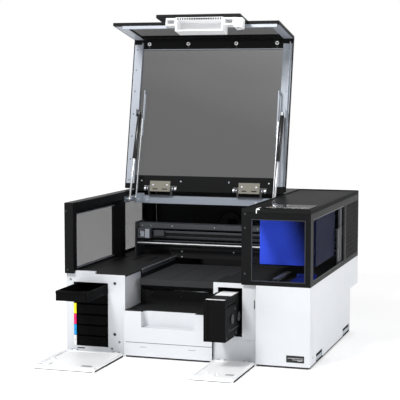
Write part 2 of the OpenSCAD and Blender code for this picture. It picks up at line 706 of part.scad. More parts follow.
// C-shaped beam, open to the front, with two ribs along its web
module gantry() color(steel) placed() {
  x0 = gantry_x[0];
  y0 = beam_y[0];
  side_sheet(x0, gantry_x[1] - x0) polygon([
    [y0, beam_z[0]], [beam_y[1], beam_z[0]], [beam_y[1], beam_z[1]], [y0, beam_z[1]],
    [y0, 436], [y0 + 3, 436], [y0 + 3, beam_z[1] - 3], [beam_y[1] - 3, beam_z[1] - 3],
    [beam_y[1] - 3, 425], [y0 + 8, 425], [y0 + 8, 416], [beam_y[1] - 3, 416],
    [beam_y[1] - 3, 402], [y0 + 8, 402], [y0 + 8, 393], [beam_y[1] - 3, 393],
    [beam_y[1] - 3, beam_z[0] + 3], [y0, beam_z[0] + 3]
  ]);
  for (e = [[x0 - 6, left_top], [gantry_x[1], right_top]]) difference() {
    block([e[0], rod_yz[0] - 16, e[1]], [e[0] + 6, beam_y[1] + 12, beam_z[1] + 8]);
    rod_x(e[0] - 1, rod_yz[0], rod_yz[1], 8, 6);
  }
  // belt pulley bracket and the tensioner beside it
  difference() {
    block([x0 + 6, y0 - 32, 394], [x0 + 64, y0, 436]);
    block([x0 + 14, y0 - 33, 401], [x0 + 56, y0 - 4, 429]);
  }
  block([x0 + 20, y0 - 24, 401], [x0 + 50, y0 - 4, 429]);
  block([x0 + 72, y0 - 10, 404], [x0 + 118, y0, 428]);
}

module guide_rod() color("#c9ccd0") placed()
  rod_x(gantry_x[0] - 6, rod_yz[0], rod_yz[1], gantry_x[1] - gantry_x[0] + 12, 6);

module carriage_cover() color("#3248be") placed() {
  x1 = carriage_x + carriage_w;
  difference() {
    block([carriage_x, carriage_y[0], carriage_z], [x1, carriage_y[1], carriage_top]);
    block([carriage_x + 3, carriage_y[0] + 3, carriage_z - 1],
          [x1 - 3, carriage_y[1] - 3, carriage_top - 3]);
  }
  // bearing block on the guide rod, under the rear edge of the cover
  difference() {
    block([carriage_x + 20, carriage_y[1], carriage_z], [x1 - 20, beam_y[0] - 2, carriage_z + 26]);
    rod_x(carriage_x, rod_yz[0], rod_yz[1], carriage_w, 6 + fit);
  }
}

module print_head() color(gloss) placed() {
  x1 = carriage_x + carriage_w;
  block([carriage_x + 6, carriage_y[0] + 20, carriage_z - 6], [x1 - 6, carriage_y[1] - 30, carriage_z]);
  for (k = [0:2])
    block([carriage_x + 26 + 62 * k, 250, carriage_z - 12],
          [carriage_x + 66 + 62 * k, 400, carriage_z - 6]);
}

base_pan();
feet();
left_side_panel();
right_side_panel();
rear_panel();
rear_top_cover();
left_bay_shell();
right_bay_shell();
right_front_panel();
centre_front_panel();
centre_lower_panel();
front_shelf();
inner_deck();
power_supply();
left_door();
right_door();
door_hinges();
ink_rack();
ink_tray_1();
ink_tray_2();
ink_tray_3();
ink_tray_4();
ink_tray_5();
ink_tray_6();
colour_strip();
cassette_bay();
wiper_cassette();
wiper_roller_front();
wiper_roller_rear();
left_canopy();
left_window();
right_canopy();
right_front_window();
right_side_window();
canopy_cap();
control_panel();
power_key();
menu_key();
feed_key();
lid_frame();
lid_glass();
lid_front_glass();
lid_rails();
lid_handle();
hinge_leaves();
hinge_blocks();
crossbar();
gas_tube_left();
gas_tube_right();
gas_rod_left();
gas_rod_right();
lid_stay_left();
lid_stay_right();
bed_frame();
bed_carrier();
print_bed();
gantry();
guide_rod();
carriage_cover();
print_head();
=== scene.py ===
import json
import math
import bmesh
import bpy
from mathutils import Matrix, Vector


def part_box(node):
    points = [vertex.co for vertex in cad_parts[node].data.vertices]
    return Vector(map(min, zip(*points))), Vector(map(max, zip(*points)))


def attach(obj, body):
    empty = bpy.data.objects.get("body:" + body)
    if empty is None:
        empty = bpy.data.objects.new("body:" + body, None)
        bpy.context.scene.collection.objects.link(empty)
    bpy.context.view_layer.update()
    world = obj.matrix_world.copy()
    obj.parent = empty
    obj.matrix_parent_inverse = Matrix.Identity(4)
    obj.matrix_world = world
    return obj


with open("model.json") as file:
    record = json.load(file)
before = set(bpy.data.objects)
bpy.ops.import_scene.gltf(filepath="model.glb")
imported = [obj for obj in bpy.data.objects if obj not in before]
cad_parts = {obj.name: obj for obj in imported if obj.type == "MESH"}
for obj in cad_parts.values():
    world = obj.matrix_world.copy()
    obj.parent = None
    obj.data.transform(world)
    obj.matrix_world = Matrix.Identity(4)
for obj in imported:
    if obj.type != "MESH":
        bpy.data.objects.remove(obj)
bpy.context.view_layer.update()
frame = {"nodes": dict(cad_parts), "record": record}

scene = bpy.context.scene


# ---- Room, camera and light ----
# The machine stands on a seamless white floor before a white backdrop. A soft lamp high in
# front and to the left lights its front, and a weaker one fills the right-hand side.
scene.view_settings.view_transform = "Standard"

camera_data = bpy.data.cameras.new("camera")
camera_data.lens = 111.8
camera_data.sensor_width = 36.0
camera_data.clip_end = 50.0
camera = bpy.data.objects.new("camera", camera_data)
camera.location = (1.4747, -4.7508, 1.0372)
camera_yaw = math.radians(-17.70)
camera_pitch = math.radians(5.15)
camera_roll = math.radians(-0.07)
camera.rotation_mode = "XYZ"
camera.rotation_euler = (math.pi / 2 - camera_pitch, camera_roll, -camera_yaw)
scene.collection.objects.link(camera)
scene.camera = camera


def graded(tree, source, direction, start, end, low=0.0, high=1.0):
    """A node whose value goes from low to high along a direction, between two distances."""
    place = tree.nodes.new("ShaderNodeTexCoord")
    slope = tree.nodes.new("ShaderNodeVectorMath")
    slope.operation = "DOT_PRODUCT"
    slope.inputs[1].default_value = direction
    span = tree.nodes.new("ShaderNodeMapRange")
    for socket, value in (("From Min", start), ("From Max", end), ("To Min", low), ("To Max", high)):
        span.inputs[socket].default_value = value
    tree.links.new(place.outputs[source], slope.inputs[0])
    tree.links.new(slope.outputs["Value"], span.inputs["Value"])
    return span


world = bpy.data.worlds.new("studio")
scene.world = world
world.use_nodes = True
sky = world.node_tree.nodes["Background"]
sky.inputs["Color"].default_value = (1.0, 1.0, 1.0, 1.0)
sky_grade = graded(world.node_tree, "Generated", (-0.40, -0.15, 0.90), -0.2, 0.95, 0.28, 0.72)
world.node_tree.links.new(sky_grade.outputs["Result"], sky.inputs["Strength"])


def soft_lamp(name, place, target, width, height, watts):
    """A rectangular lamp aimed at a point."""
    lamp_data = bpy.data.lights.new(name, "AREA")
    lamp_data.shape = "RECTANGLE"
    lamp_data.size = width
    lamp_data.size_y = height
    lamp_data.energy = watts
    lamp_data.specular_factor = 0.25
    lamp = bpy.data.objects.new(name, lamp_data)
    lamp.location = place
    aim = Vector(target) - Vector(place)
    lamp.rotation_euler = aim.to_track_quat("-Z", "Y").to_euler()
    scene.collection.objects.link(lamp)


soft_lamp("key_lamp", (-1.1, -3.3, 3.6), (0.0, -0.2, 0.3), 1.0, 0.9, 150)
soft_lamp("side_lamp", (4.2, -1.0, 1.6), (0.3, 0.0, 0.3), 1.6, 1.2, 40)


def lit_plane(name, corners, shade, glow):
    """A matt studio surface that also shines a little of its own."""
    mesh = bpy.data.meshes.new(name)
    mesh.from_pydata(corners, [], [(0, 1, 2, 3)])
    plane = bpy.data.objects.new(name, mesh)
    scene.collection.objects.link(plane)
    paint = bpy.data.materials.new(name + "_paint")
    paint.use_nodes = True
    shader = paint.node_tree.nodes["Principled BSDF"]
    shader.inputs["Base Color"].default_value = (shade, shade, shade, 1)
    shader.inputs["Roughness"].default_value = 0.9
    shader.inputs["Specular IOR Level"].default_value = 0.0
    shader.inputs["Emission Color"].default_value = (1, 1, 1, 1)
    shader.inputs["Emission Strength"].default_value = glow
    mesh.materials.append(paint)
    return plane


backdrop = lit_plane("backdrop", [(-14, 9, -3), (14, 9, -3), (14, 9, 9), (-14, 9, 9)], 0.0, 1.0)
floor = lit_plane("floor", [(-40, -40, 0), (40, -40, 0), (40, 40, 0), (-40, 40, 0)], 0.86, 0.36)


# ---- White front panels ----
# The front faces are folded steel sheets with a satin powder coat, whose fine orange peel
# only shows in the highlights. Their edges are slightly rounded by the coat.
def coated(name, colour, roughness, metal=0.0, grain=900.0, depth=0.04, mottle=0.05, sheen=0.5):
    """A finish with a fine skin texture, slight colour variation and slightly uneven gloss."""
    material = bpy.data.materials.new(name)
    material.use_nodes = True
    nodes = material.node_tree.nodes
    links = material.node_tree.links
    shader = nodes["Principled BSDF"]
    shader.inputs["Metallic"].default_value = metal
    shader.inputs["Specular IOR Level"].default_value = sheen
    place = nodes.new("ShaderNodeTexCoord")
    cloud = nodes.new("ShaderNodeTexNoise")
    cloud.inputs["Scale"].default_value = 7.0
    cloud.inputs["Detail"].default_value = 4.0
    links.new(place.outputs["Object"], cloud.inputs["Vector"])
    shade = nodes.new("ShaderNodeMix")
    shade.name = "shade"
    shade.data_type = "RGBA"
    shade.inputs["A"].default_value = (*[c * (1 - mottle) for c in colour], 1)
    shade.inputs["B"].default_value = (*[min(1, c * (1 + mottle)) for c in colour], 1)
    links.new(cloud.outputs["Fac"], shade.inputs["Factor"])
    links.new(shade.outputs["Result"], shader.inputs["Base Color"])
    gloss = nodes.new("ShaderNodeMapRange")
    gloss.inputs["To Min"].default_value = roughness * 0.88
    gloss.inputs["To Max"].default_value = roughness * 1.12
    links.new(cloud.outputs["Fac"], gloss.inputs["Value"])
    links.new(gloss.outputs["Result"], shader.inputs["Roughness"])
    peel = nodes.new("ShaderNodeTexNoise")
    peel.inputs["Scale"].default_value = grain
    peel.inputs["Detail"].default_value = 2.0
    links.new(place.outputs["Object"], peel.inputs["Vector"])
    bump = nodes.new("ShaderNodeBump")
    bump.inputs["Strength"].default_value = depth
    bump.inputs["Distance"].default_value = 0.0004
    links.new(peel.outputs["Fac"], bump.inputs["Height"])
    links.new(bump.outputs["Normal"], shader.inputs["Normal"])
    return material


def dress(material, *names, edge=0.0008):
    """Gives CAD nodes a finish and takes the sharpness off their edges."""
    for name in names:
        node = frame["nodes"][name]
        for slot in node.material_slots:
            slot.material = material
        if edge:
            weld = node.modifiers.new("weld", "WELD")
            weld.merge_threshold = 0.00001
            round_edge = node.modifiers.new("round_edge", "BEVEL")
            round_edge.width = edge
            round_edge.segments = 2
            round_edge.limit_method = "ANGLE"
            round_edge.angle_limit = math.radians(40)
            round_edge.harden_normals = True


front_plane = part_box("right_front_panel")[0][1]


def at(x, y, z):
    """A point given in millimetres from the middle, the front plane and the floor."""
    return Vector((x / 1000, front_plane + y / 1000, z / 1000))


def add_turned(bm, place, axis, profile, sides=24):
    """A turned form from (radius, height) pairs in millimetres, standing on a point along an axis."""
    turn = Vector(axis).normalized().to_track_quat("Z", "Y").to_matrix().to_4x4()
    turn.translation = at(*place)
    rings = []
    for radius, height in profile:
        if radius == 0:
            rings.append([bm.verts.new(turn @ Vector((0, 0, height / 1000)))])
        else:
            angles = [2 * math.pi * k / sides for k in range(sides)]
            rings.append([bm.verts.new(turn @ Vector((radius / 1000 * math.cos(a),
                                                      radius / 1000 * math.sin(a),
                                                      height / 1000))) for a in angles])
    for near, far in zip(rings, rings[1:]):
        for k in range(sides):
            face = [near[k % len(near)], near[(k + 1) % len(near)],
                    far[(k + 1) % len(far)], far[k % len(far)]]
            face = list(dict.fromkeys(face))
            if len(face) > 2:
                bm.faces.new(face)
    for ring in (rings[0], rings[-1]):
        if len(ring) > 2:
            bm.faces.new(ring)


def finish_piece(name, body, bm, material, turn=None, smooth=False):
    """Makes the mesh a named piece that rides on a body."""
    if turn is not None:
        bm.transform(turn)
    bmesh.ops.recalc_face_normals(bm, faces=bm.faces)
    mesh = bpy.data.meshes.new(name)
    bm.to_mesh(mesh)
    bm.free()
    piece = bpy.data.objects.new(name, mesh)
    scene.collection.objects.link(piece)
    mesh.materials.append(material)
    if smooth:
        for face in mesh.polygons:
            face.use_smooth = True
        mesh.set_sharp_from_angle(angle=math.radians(35))
    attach(piece, body)
    return piece


SCREW = [(0, -0.4), (3.4, -0.4), (4.2, 0.2), (4.2, 0.9), (3.6, 1.7), (2.2, 2.2), (1.7, 2.2),
         (1.5, 1.2), (0, 1.2)]

FLAT_SCREW = [(0, -0.4), (3.8, -0.4), (3.8, 0.2), (3.5, 0.4), (1.7, 0.4), (1.5, -0.2), (0, -0.2)]


def screws(name, body, places, axis, material, size=1.0, turn=None, form=SCREW):
    """Screws with a driver socket, pan-headed unless a flat form is given, at points in millimetres."""
    bm = bmesh.new()
    for place in places:
        add_turned(bm, place, axis, [(r * size, h * size) for r, h in form], sides=20)
    return finish_piece(name, body, bm, material, turn, smooth=True)


white_coat = coated("white_coat", (0.665, 0.685, 0.715), 0.42)
dress(white_coat, "left_bay_shell", "right_bay_shell", "right_front_panel", "centre_front_panel",
      "centre_lower_panel")
dark_screw = coated("dark_screw", (0.05, 0.052, 0.055), 0.35, metal=0.6)
screws("bay_screws", "cabinet", [(-286, 15, 283), (-287, 15, 83)], (0, -1, 0), dark_screw,
       size=1.4)
screws("bay_flat_screws", "cabinet", [(-268, 15, 54), (-299, 15, 26), (-471, 15.1, 291)], (0, -1, 0),
       dark_screw, size=1.2, form=FLAT_SCREW)

# ---- Slots and faint marks in the front panels ----
# Punched slots let the door latches in, and small raised strips mark where the cartridges sit.
# They are cut or pressed in the painted sheet, so only their rims and shadows show.
def add_block(bm, low, high, edge=0.5):
    """A box between two points in millimetres, with its edges rounded."""
    start, end = at(*low), at(*high)
    corners = bmesh.ops.create_cube(bm, size=1.0)["verts"]
    bmesh.ops.scale(bm, vec=end - start, verts=corners)
    bmesh.ops.translate(bm, vec=(start + end) / 2, verts=corners)
    if edge:
        sides = list({e for v in corners for e in v.link_edges})
        bmesh.ops.bevel(bm, geom=sides, offset=edge / 1000, segments=2, profile=0.7, affect="EDGES")


def add_slab(bm, outline, axis, low, high, edge=0.0):
    """A plate: an outline of point pairs in millimetres, spread along one axis between two values."""
    def spot(pair, level):
        point = list(pair)
        point.insert(axis, level)
        return at(*point)
    near = [bm.verts.new(spot(pair, low)) for pair in outline]
    far = [bm.verts.new(spot(pair, high)) for pair in outline]
    bm.faces.new(near)
    bm.faces.new(far)
    for k in range(len(outline)):
        n = (k + 1) % len(outline)
        bm.faces.new((near[k], near[n], far[n], far[k]))
    if edge:
        rims = list({e for v in near + far for e in v.link_edges})
        bmesh.ops.bevel(bm, geom=rims, offset=edge / 1000, segments=2, profile=0.7, affect="EDGES")


shadow_black = coated("shadow_black", (0.006, 0.006, 0.006), 0.7, sheen=0.1)
bm = bmesh.new()
add_slab(bm, [(-444, 20), (-413, 20), (-413, 24), (-444, 24)], 1, 14.6, 15.2)
add_slab(bm, [(272, 214), (275.5, 214), (275.5, 247), (272, 247)], 1, 14.6, 15.2)
for x in (-178, 18):
    add_slab(bm, [(x, 43.6), (x + 28, 43.6), (x + 28, 44.8), (x, 44.8)], 1, -0.15, 0.2)
finish_piece("panel_slots", "cabinet", bm, shadow_black)
bm = bmesh.new()
add_slab(bm, [(-280, 262), (-266, 262), (-266, 264), (-280, 264)], 1, 14.5, 15.1, edge=0.2)
add_slab(bm, [(232, 210), (246, 210), (246, 213), (232, 213)], 1, 14.5, 15.1, edge=0.2)
add_block(bm, (116, 13.6, 92), (280, 15.2, 93.2), edge=0.3)
finish_piece("pressed_marks", "cabinet", bm, white_coat)

# ---- Painted gap shadows and blank plate ----
# Dark strips are painted shade: they fill the gap between the centre panels and the gap beside the
# right front panel, and give the contact shadow along the lower edge all round.
# A blank raised plate is pressed in the right front panel.
centre_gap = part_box("centre_lower_panel")[1][2] * 1000
gap_shadow_black = coated("gap_shadow_black", (0.010, 0.010, 0.011), 0.8, grain=700.0, depth=0.3, sheen=0.1)
bm = bmesh.new()
# Painted shade: dark strips in the panel gaps and round the lower edge, where the contact shadow falls.
add_block(bm, (-236, -0.5, centre_gap - 1.4), (112, 4, centre_gap + 2.4), edge=0.3)
add_block(bm, (-236, 0.5, 2.5), (112, 6, 9), edge=0.6)
add_block(bm, (286, 0.5, 2.5), (486, 7, 9), edge=0.6)
add_block(bm, (483, 7, 2.5), (489, 774, 9), edge=0.6)
add_block(bm, (-486, 30, 4), (-480, 774, 9), edge=0.6)
add_block(bm, (282.2, 1.5, 12), (283.4, 12, 300), edge=0.2)
finish_piece("gap_shadows", "cabinet", bm, gap_shadow_black)
bm = bmesh.new()
add_block(bm, (314, -0.7, 202), (436, 0.2, 228), edge=0.5)
finish_piece("blank_plate", "cabinet", bm, white_coat)

# ---- Lower badge ----
# A plain black plate is glued to the right front panel near its lower corner.
# It is a thin gloss-printed label with rounded corners and a fine lighter rule, without lettering.
label_black = coated("label_black", (0.010, 0.010, 0.010), 0.22, sheen=0.4)
bm = bmesh.new()
add_block(bm, (401, -0.8, 24), (469, 0.2, 50), edge=0.3)
finish_piece("lower_badge", "cabinet", bm, label_black)
label_grey = coated("label_grey", (0.55, 0.56, 0.58), 0.5)
bm = bmesh.new()
for z, x0, x1 in ((39.5, 406, 464), (34.0, 424, 464), (30.5, 444, 462)):
    add_slab(bm, [(x0, z), (x1, z), (x1, z + 1.6), (x0, z + 1.6)], 1, -1.0, -0.7)
finish_piece("badge_rules", "cabinet", bm, label_grey)

# ---- Side and rear panels ----
# The sides and the back are powder-coated sheets in a slightly greyer white than the front.
# A dark block fills each grip opening from inside, painted shade for the hollow, so that no light shows
# through.
side_coat = coated("side_coat", (0.69, 0.71, 0.745), 0.45)
dress(side_coat, "left_side_panel", "right_side_panel", "rear_panel")
bm = bmesh.new()
for side in (-1, 1):
    for start, end in ((103, 227), (617, 767)):
        x_in, x_out = sorted((side * 486.4, side * 476))
        add_block(bm, (x_in, start, 14), (x_out, end, 46), edge=3)
finish_piece("grip_shadows", "cabinet", bm, shadow_black)

# ---- Rear sockets ----
# A mains inlet, a data port and a round duct outlet are screwed to the rear panel.
# They are black moulded parts with a raised rim and a recessed face.
moulded_black = coated("moulded_black", (0.0045, 0.0045, 0.0048), 0.5, grain=1600.0, depth=0.2,
                       sheen=0.05)
bm = bmesh.new()
add_block(bm, (-436, 779, 56), (-376, 782.5, 94), edge=1.5)
add_block(bm, (-422, 782, 66), (-390, 786, 84), edge=1.5)
add_block(bm, (-352, 779, 64), (-332, 783, 84), edge=1)
outlet = [(0, 0), (36, 0), (36, 5), (33, 6), (29, 6), (28, 2), (0, 2)]
add_turned(bm, (-240, 780, 110), (0, 1, 0), outlet, sides=40)
finish_piece("rear_sockets", "cabinet", bm, moulded_black, smooth=True)
steel_screw = coated("steel_screw", (0.62, 0.64, 0.67), 0.30, metal=0.7)
socket_places = [(-431, 782.3, 75), (-381, 782.3, 75), (-240, 786, 142), (-240, 786, 78)]
screws("socket_screws", "cabinet", socket_places, (0, 1, 0), steel_screw, size=0.6)

# ---- Underside, feet and power supply ----
# A galvanised pan closes the machine below, on four moulded rubber feet. The perforated case
# of the power supply sits on it.
steel_coat = coated("steel_coat", (0.42, 0.46, 0.51), 0.42, metal=0.15, sheen=0.4)
dress(steel_coat, "base_pan", "power_supply", "door_hinges", edge=0.0004)
rubber = coated("rubber", (0.012, 0.012, 0.012), 0.85, grain=500.0, depth=0.3, sheen=0.15)
dress(rubber, "feet")


# ---- Service doors ----
# Each drop-down door is a folded white sheet over a shallow inner pan. Dark strips line its rim and run
# under the free edges
# of its outer skin: partly the door's dark edge, partly painted shade for the contact shadow where the
# open door lies on the floor.
# A raised flange, a latch block and a blank data plate are on the inside.
def fold_down(name):
    """The turn that lays a door, drawn closed, down about its hinge."""
    joint = next(j for j in frame["record"]["behaviour"]["joints"] if j["name"] == name)
    hinge = Vector(joint["pos_m"])
    quarter = Matrix.Rotation(math.radians(90), 4, "X")
    return Matrix.Translation(hinge) @ quarter @ Matrix.Translation(-hinge)


door_white = coated("door_white", (0.90, 0.91, 0.92), 0.38)
dress(door_white, "left_door", "right_door", edge=0.001)
dark_rim_and_shadow = coated("dark_rim_and_shadow", (0.006, 0.006, 0.007), 0.7, sheen=0.05)
door_edges = (("left_door", -488, -246, 309.2, 205), ("right_door", 115, 280, 304.6, 290))
for body, x0, x1, top, notch in door_edges:
    turn = fold_down(body + "_hinge")
    bm = bmesh.new()
    add_block(bm, (x0 + 0.6, 0.1, 20), (x1 - 0.6, 5.2, 22.4), edge=0.6)
    add_block(bm, (x0 + 0.6, 0.1, top - 2.8), (x1 - 0.6, 5.2, top), edge=0.6)
    add_block(bm, (x0 + 0.3, -0.2, 22), (x0 + 2.6, 5.2, top - 2.2), edge=0.6)
    add_block(bm, (x1 - 2.6, -0.2, 22), (x1 + 0.1, 5.2, top - 2.2), edge=0.6)
    # These strips under the free edges of the outer skin are painted shade: the contact shadow under
    # the open door.
    add_block(bm, (x0 + 0.5, -2.2, 22), (x0 + 6, 0.3, top), edge=0.5)
    add_block(bm, (x1 - 6, -2.2, 22), (x1 - 0.5, 0.3, notch), edge=0.5)
    add_block(bm, (x1 - 6, -0.7, notch), (x1 - 0.5, 0.3, top), edge=0.2)
    add_block(bm, (x0 + 6, -2.2, top - 6), (x1 - 10, 0.3, top), edge=0.5)
    finish_piece(body + "_gasket", body, bm, dark_rim_and_shadow, turn)
bm = bmesh.new()
add_block(bm, (-487.6, 7, 26), (-484, 14.8, 303), edge=0.8)
add_block(bm, (-475, 9, 176), (-462, 14.4, 188), edge=1.2)
add_block(bm, (-464, 9, 172), (-456, 12, 192), edge=1.0)
finish_piece("left_door_flange", "left_door", bm, door_white,
             fold_down("left_door_hinge"))
bm = bmesh.new()
for x in (163, 182, 201):
    add_turned(bm, (x, 9, 244), (0, 1, 0), [(0, 0), (7, 0), (6, 4), (3.2, 5), (3, 9), (0, 9)], sides=20)
add_block(bm, (154, 9, 236), (210, 11.5, 253), edge=0.8)
add_block(bm, (262, 9, 222), (265, 14.7, 232), edge=0.8)
add_block(bm, (256, 9, 222), (259, 14.0, 230), edge=0.8)
finish_piece("right_door_fittings", "right_door", bm, door_white,
             fold_down("right_door_hinge"), smooth=True)
plate_grey = coated("plate_grey", (0.42, 0.44, 0.47), 0.35, metal=0.3)
for body, x0, x1, z in (("left_door", -317, -277, 252), ("right_door", 230, 262, 224)):
    bm = bmesh.new()
    add_block(bm, (x0, 9.3, z), (x1, 10.2, z + 20), edge=0.2)
    finish_piece(body + "_plate", body, bm, plate_grey, fold_down(body + "_hinge"))

# ---- Front shelf and centre well ----
# The shelf behind the finger recess and the walls of the bed well are textured black sheet.
# Small screws hold the shelf's rear wall, and a slot at its left takes the lid latch.
black_grain = coated("black_grain", (0.0200, 0.0202, 0.0208), 0.5, grain=1400.0, depth=0.25, sheen=0.06)
dress(black_grain, "front_shelf", "inner_deck")
bm = bmesh.new()
add_slab(bm, [(-236, 50), (-212, 50), (-212, 72), (-236, 72)], 2, 181.8, 182.3)
finish_piece("shelf_slot", "cabinet", bm, shadow_black)
screws("shelf_screws", "cabinet", [(-196, 188, 226), (-72, 188, 214), (60, 188, 226)], (0, -1, 0),
       dark_screw, size=0.9)
bm = bmesh.new()
add_block(bm, (-241.5, 192, 300), (-238, 600, 318), edge=0.8)
add_block(bm, (-238, 188, 314), (-232, 606, 318.2), edge=0.6)
edge_strip = coated("edge_strip", (0.16, 0.17, 0.18), 0.35, metal=0.3)
finish_piece("well_edge_strip", "cabinet", bm, edge_strip)
bm = bmesh.new()
for x, y0, y1 in ((-376, 430, 545), (-312, 430, 560), (-440, 380, 540)):
    add_slab(bm, [(x, y0), (x + 14, y0), (x + 14, y1), (x, y1)], 2, 315.6, 316.2)
finish_piece("deck_slots", "cabinet", bm, shadow_black)
screws("bridge_bolts", "cabinet", [(-212, 612, 337), (-212, 612, 313), (20, 612, 340)], (0, -1, 0),
       steel_screw, size=0.9)

# ---- Ink bay ----
# Six ribbed black trays slide in a moulded rack. The uppermost is drawn out, and its front
# has a finger lip. Every tray stands on a shelf of the rack.
tray_black = coated("tray_black", (0.005, 0.005, 0.0054), 0.42, grain=1500.0, depth=0.2, sheen=0.012)
dress(tray_black, "ink_rack")
for tray in range(1, 7):
    dress(tray_black, f"ink_tray_{tray}")
    low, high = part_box(f"ink_tray_{tray}")
    out = (low[1] - front_plane) * 1000
    z0, z1 = low[2] * 1000, high[2] * 1000
    bm = bmesh.new()
    add_block(bm, (low[0] * 1000 + 1, out - 5, z1 - 9), (high[0] * 1000 - 1, out + 2, z1 - 1), edge=2)
    add_block(bm, (low[0] * 1000 + 5, out - 2.5, z0 + 1), (high[0] * 1000 - 5, out + 1, z1 - 9), edge=1)
    finish_piece(f"ink_tray_{tray}_front", f"ink_tray_{tray}", bm, tray_black)

# ---- Ink colour flags ----
# A printed strip on the left jamb of the rack shows which ink goes in each slot: yellow,
# magenta, cyan and white, one square of satin vinyl for each.
flag_low, flag_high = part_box("colour_strip")
flags = coated("flags", (0.9, 0.9, 0.9), 0.5)
nodes, links = flags.node_tree.nodes, flags.node_tree.links
flag_grade = graded(flags.node_tree, "Object", (0.0, 0.0, 1.0), flag_low[2], flag_high[2])
flag_ramp = nodes.new("ShaderNodeValToRGB")
flag_ramp.color_ramp.interpolation = "CONSTANT"
stops = flag_ramp.color_ramp.elements
stops[0].position, stops[0].color = 0.0, (0.88, 0.88, 0.88, 1)
stops[1].position, stops[1].color = 0.25, (0.0, 0.34, 0.80, 1)
third, fourth = stops.new(0.5), stops.new(0.75)
third.color = (0.83, 0.0, 0.15, 1)
fourth.color = (1.0, 0.88, 0.0, 1)
links.new(flag_grade.outputs["Result"], flag_ramp.inputs["Fac"])
links.new(flag_ramp.outputs["Color"], nodes["Principled BSDF"].inputs["Base Color"])
dress(flags, "colour_strip", edge=0.0003)
bm = bmesh.new()
for k in range(4):
    z = flag_low[2] * 1000 + 21 + 42 * k
    add_turned(bm, (-453, 15.2, z), (0, -1, 0), [(0, 0), (1.8, 0), (1.8, 0.3), (0, 0.3)], sides=12)
finish_piece("flag_dots", "cabinet", bm, label_black)

# ---- Wiper cassette ----
# The cassette is a black moulded box with a deep front, ribbed upper sides and two drive
# rollers on its right side. Two plain white label fields lie on its top.
dress(moulded_black, "cassette_bay", "wiper_cassette", "wiper_roller_front", "wiper_roller_rear",
      edge=0.0012)
roller_grey = coated("roller_grey", (0.060, 0.061, 0.064), 0.45, grain=1200.0, depth=0.2, sheen=0.25)
bm = bmesh.new()
add_block(bm, (131.6, -170, 117.2), (149, -160, 272), edge=2)
add_block(bm, (149, -168, 117.2), (214, -160, 270), edge=2)
add_block(bm, (150, -170, 246), (213, -166, 268), edge=1.5)
for k in range(7):
    add_block(bm, (213.6, -146 + 24 * k, 236), (215.4, -132 + 24 * k, 240), edge=0.4)
    add_block(bm, (213.6, -150 + 24 * k, 252), (215.4, -146 + 24 * k, 268), edge=0.4)
finish_piece("cassette_mouldings", "wiper_cassette", bm, moulded_black)
bm = bmesh.new()
boss = [(0, 0), (5, 0), (5, 1.4), (3.4, 1.8), (3, 0.8), (0, 0.8)]
for y, z in ((-118, 156), (-57, 122), (-150, 130), (-30, 130), (40, 124), (-40, 222), (60, 222)):
    add_turned(bm, (213.8, y, z), (1, 0, 0), boss, sides=18)
add_block(bm, (213.4, -96, 148), (214.8, 24, 151), edge=0.5)
finish_piece("cassette_bosses", "wiper_cassette", bm, roller_grey, smooth=True)
for body in ("wiper_roller_front", "wiper_roller_rear"):
    low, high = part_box(body)
    centre_y = ((low[1] + high[1]) / 2 - front_plane) * 1000
    centre_z = (low[2] + high[2]) * 500
    x = high[0] * 1000
    bm = bmesh.new()
    disc = [(0, 0), (17.5, 0), (17.5, 1.4), (14, 2), (6, 1.2), (0, 1.2)]
    add_turned(bm, (x - 1, centre_y, centre_z), (1, 0, 0), disc, sides=32)
    for k in range(6):
        turn_by = math.tau * k / 6
        add_turned(bm, (x + 0.6, centre_y + 10 * math.cos(turn_by), centre_z + 10 * math.sin(turn_by)),
                   (1, 0, 0), [(0, 0), (2, 0), (1.6, 0.9), (0, 0.9)], sides=12)
    finish_piece(body + "_disc", body, bm, roller_grey, smooth=True)
label_white = coated("label_white", (0.95, 0.95, 0.95), 0.45)
bm = bmesh.new()
add_block(bm, (141, -58, 270.8), (206, 46, 271.6), edge=0.2)
add_block(bm, (137, -159, 270.8), (209, -147, 272.2), edge=0.2)
finish_piece("cassette_labels", "wiper_cassette", bm, label_white)

# ---- Canopies ----
# Both canopies are satin black mouldings. Their posts carry small black screws, and slim
# metal beads hold the panes in the window openings.
canopy_black = coated("canopy_black", (0.0085, 0.0087, 0.0092), 0.42, grain=1500.0, depth=0.15,
                      sheen=0.05)
dress(canopy_black, "left_canopy", "right_canopy", edge=0.0015)
rear_grey = coated("rear_grey", (0.032, 0.0325, 0.0335), 0.5, grain=1500.0, depth=0.15, sheen=0.1)
dress(rear_grey, "rear_top_cover", edge=0.0015)
screws("post_screws", "cabinet", [(240, 0, z) for z in (572, 520, 348)], (0, -1, 0), dark_screw)
screws("left_post_screws", "cabinet", [(-484, 0, 560), (-478, 0, 330)], (0, -1, 0), dark_screw,
       form=FLAT_SCREW)


def add_bead(bm, axis, level, depth, low, high, width):
    """A rectangular bead round an opening, square to axis 0 or 1, from level to level + depth."""
    (a0, b0), (a1, b1) = low, high
    bars = (((a0, b0), (a1, b0 + width)), ((a0, b1 - width), (a1, b1)),
            ((a0, b0 + width), (a0 + width, b1 - width)), ((a1 - width, b0 + width), (a1, b1 - width)))
    for (p0, q0), (p1, q1) in bars:
        start, end = [p0, q0], [p1, q1]
        start.insert(axis, min(level, level + depth))
        end.insert(axis, max(level, level + depth))
        add_block(bm, start, end, edge=0.5)


